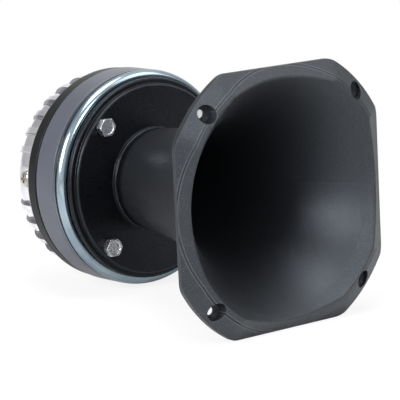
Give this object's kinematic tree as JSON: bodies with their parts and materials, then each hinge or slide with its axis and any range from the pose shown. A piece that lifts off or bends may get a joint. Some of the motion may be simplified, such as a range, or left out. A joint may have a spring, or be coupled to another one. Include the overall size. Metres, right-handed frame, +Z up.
{
  "type": "compression driver with horn",
  "caption": "Ferrite compression driver with finned rear cover, bolted to a round aluminium horn with a square mouth flange.",
  "frame": {"origin": "on the horn's axis in the seat plane of the square mouth flange", "axes": "+Y along the horn's axis from the mouth towards the driver, +Z up, mouth opens towards -Y"},
  "size_m": [0.15, 0.2017, 0.15],
  "materials": {
    "horn_paint": "fine satin powder coat",
    "bolt_zinc": "bright zinc plated",
    "gasket_fibre": "black fibre gasket",
    "plate_zinc": "blue zinc plated steel",
    "magnet_grey": "satin grey painted ferrite",
    "plate_black": "satin black paint",
    "plug_black": "moulded phase plug",
    "titanium": "formed metal foil",
    "former_film": "amber film",
    "coil_wire": "edge-wound wire",
    "surround_film": "formed polymer film",
    "ring_alu": "turned",
    "screw_black": "black oxide",
    "dowel_steel": "ground",
    "cover_alu": "polished casting",
    "screw_nickel": "nickel plated",
    "felt": "grey felt",
    "board_brown": "phenolic board",
    "tab_tin": "tinned brass",
    "lead_wire": "insulated wire",
    "lug_copper": "plain"
  },
  "bodies": {
    "housing": {"horn": "horn_paint", "horn_bolts": "bolt_zinc", "horn_washers": "bolt_zinc", "front_gasket": "gasket_fibre", "pole_plate": "plate_zinc", "magnet": "magnet_grey", "top_plate": "plate_black", "phase_plug": "plug_black", "surround": "surround_film", "spacer_ring": "ring_alu", "clamp_ring": "ring_alu", "clamp_ring_screws": "screw_black", "locating_dowels": "dowel_steel", "rear_cover": "cover_alu", "cover_screws": "screw_nickel", "damping_pad": "felt", "terminal_board": "board_brown", "terminal_tabs": "tab_tin", "terminal_rivets": "tab_tin", "inner_leads": "lead_wire", "contact_lugs": "lug_copper", "lead_outs": "lug_copper"},
    "diaphragm": {"diaphragm_dome": "titanium", "voice_coil_former": "former_film", "voice_coil": "coil_wire"}
  },
  "joints": [
    {"name": "diaphragm_travel", "type": "slide", "parent": "housing", "child": "diaphragm", "axis": [0, 1, 0], "range_m": [-0.0004, 0.0004], "stiffness_N_per_m": 1000, "deforming": ["surround", "lead_outs"]}
  ]
}
